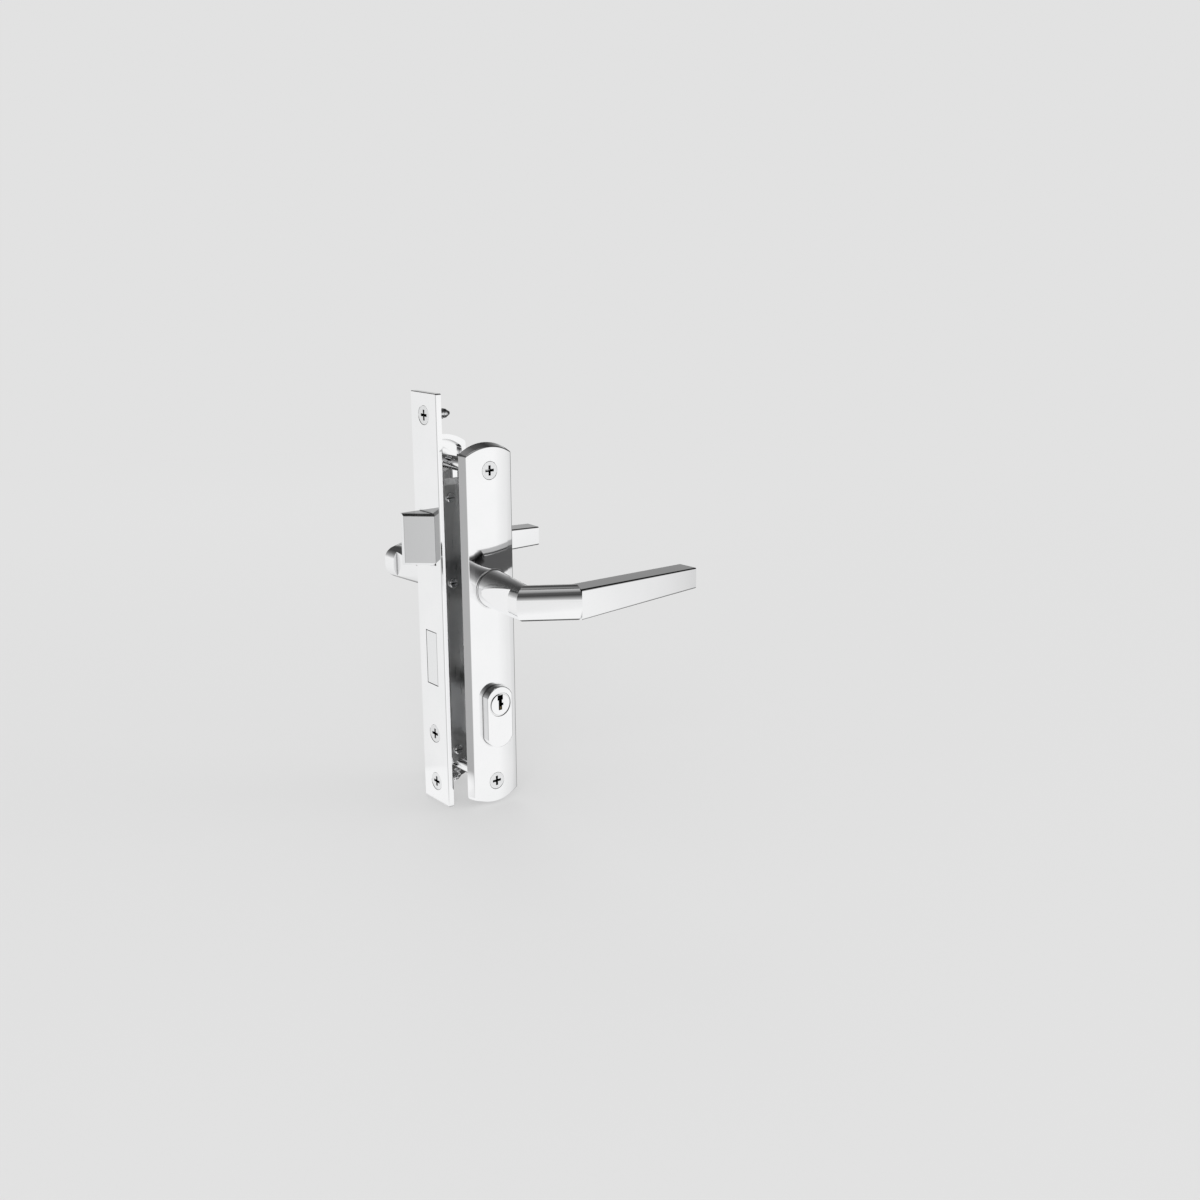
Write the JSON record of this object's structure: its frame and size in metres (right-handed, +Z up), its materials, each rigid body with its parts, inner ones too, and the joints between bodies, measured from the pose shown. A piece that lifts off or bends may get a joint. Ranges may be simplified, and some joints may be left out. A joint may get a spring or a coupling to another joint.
{
  "type": "narrow mortise lock",
  "caption": "Narrow mortise lock set in chrome: forend with sprung latch and dead bolt, slim case, oblong key cylinder, long plates and bent levers.",
  "frame": {"origin": "back of the forend, midway between its two fixing screws, on the door edge", "axes": "+X into the door away from the forend, +Y from the outer door face to the inner one, +Z up"},
  "size_m": [0.1218, 0.1514, 0.2064],
  "materials": {
    "polished_chrome": "polished mirror chrome",
    "screw_chrome": "bright chrome screw heads",
    "case_steel": "zinc-plated sheet steel, satin",
    "bolt_chrome": "chrome-plated brass, polished",
    "inner_steel": "sintered and turned steel, plain",
    "spring_steel": "spring wire, satin",
    "pin_brass": "turned brass",
    "bush_plastic": "natural acetal"
  },
  "bodies": {
    "lock_case": {"bolt_detent": "spring_steel", "case_cover": "case_steel", "case_screws": "screw_chrome", "case_tray": "case_steel", "cylinder_body": "polished_chrome", "cylinder_screw": "screw_chrome", "follower_spring": "spring_steel", "forend": "polished_chrome", "forend_screws": "screw_chrome", "inner_bush": "bush_plastic", "inner_chamber_plugs": "pin_brass", "inner_driver_pins": "pin_brass", "inner_pin_springs": "spring_steel", "inner_plate": "polished_chrome", "inner_return_spring": "spring_steel", "latch_spring": "spring_steel", "outer_bush": "bush_plastic", "outer_chamber_plugs": "pin_brass", "outer_driver_pins": "pin_brass", "outer_pin_springs": "spring_steel", "outer_plate": "polished_chrome", "outer_return_spring": "spring_steel", "through_screws": "screw_chrome"},
    "lever_set": {"outer_lever": "polished_chrome", "inner_lever": "polished_chrome", "spindle": "inner_steel", "follower": "inner_steel", "outer_grub_screw": "inner_steel", "inner_grub_screw": "inner_steel", "outer_circlip": "spring_steel", "inner_circlip": "spring_steel"},
    "latch": {"latch_bolt": "bolt_chrome"},
    "bolt": {"dead_bolt": "bolt_chrome"},
    "outer_key_part": {"outer_plug": "polished_chrome", "outer_key_pins": "pin_brass", "clutch": "inner_steel", "cylinder_cam": "inner_steel"},
    "inner_key_part": {"inner_plug": "polished_chrome", "inner_key_pins": "pin_brass"}
  },
  "joints": [
    {"name": "lever_turn", "type": "hinge", "parent": "lock_case", "child": "lever_set", "pos_m": [0.018, 0, 0.0094], "axis": [0, 1, 0], "range_deg": [0, 45], "stiffness_Nm_per_rad": 0.9, "springref_deg": -34.38, "deforming": ["follower_spring", "outer_return_spring", "inner_return_spring"]},
    {"name": "latch_slide", "type": "slide", "parent": "lock_case", "child": "latch", "axis": [1, 0, 0], "range_m": [0, 0.0113], "deforming": ["latch_spring"]},
    {"name": "outer_key_turn", "type": "hinge", "parent": "lock_case", "child": "outer_key_part", "pos_m": [0.018, 0, -0.0487], "axis": [0, -1, 0], "range_deg": [0, 360]},
    {"name": "bolt_slide", "type": "slide", "parent": "lock_case", "child": "bolt", "axis": [-1, 0, 0], "range_m": [0, 0.015], "deforming": ["bolt_detent"]},
    {"name": "inner_key_turn", "type": "hinge", "parent": "lock_case", "child": "inner_key_part", "pos_m": [0.018, 0, -0.0487], "axis": [0, -1, 0], "range_deg": [0, 360]}
  ],
  "couplings": [
    {"joint": "latch_slide", "follows": "lever_turn", "m_per_rad": 0.01426},
    {"joint": "outer_key_turn", "follows": "bolt_slide", "rad_per_m": 418.87}
  ]
}
